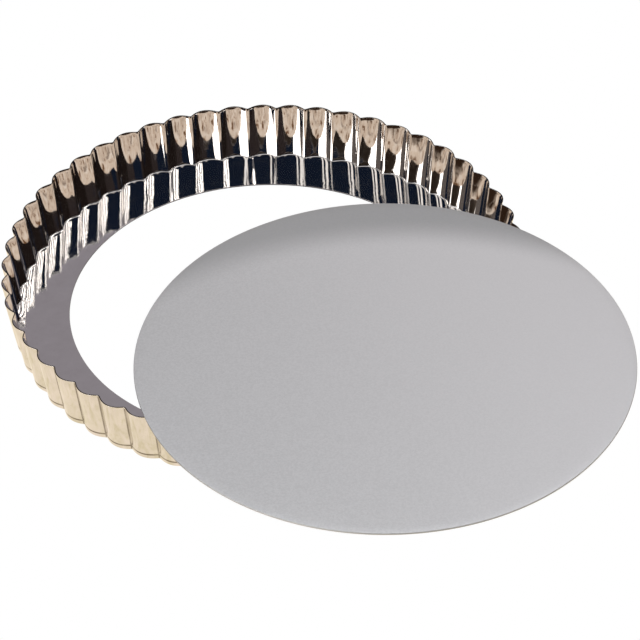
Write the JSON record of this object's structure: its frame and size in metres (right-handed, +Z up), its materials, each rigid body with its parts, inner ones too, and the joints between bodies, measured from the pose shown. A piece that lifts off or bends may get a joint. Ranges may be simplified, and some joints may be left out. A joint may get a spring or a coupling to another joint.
{
  "type": "fluted tart pan with loose base",
  "caption": "Round fluted tart pan: a sheet metal ring with a flared, scalloped wall and a narrow inner ledge, and a flat loose base disc lying across its rim.",
  "frame": {"origin": "on the surface the pan stands on, under the middle of the laid-out pan's outer box; the ring's own axis is at x -21.5 mm, y +31.2 mm, and the loose base's centre at x +31.7 mm, y -41.3 mm", "axes": "+Z up along the ring's axis, +X to the right and +Y away from the side where the loose base hangs over the rim"},
  "size_m": [0.283, 0.3022, 0.0286],
  "materials": {
    "bright_tinplate": "bright drawn tinplate, mirror-like with faint drawing lines",
    "satin_sheet": "satin rolled steel sheet with a fine even grain"
  },
  "bodies": {
    "ring": {"fluted_ring": "bright_tinplate"},
    "base": {"loose_base": "satin_sheet"}
  },
  "joints": [
    {"name": "base_lift", "type": "slide", "parent": "ring", "child": "base", "axis": [0, 0, 1], "range_m": [0, 0.12]}
  ]
}
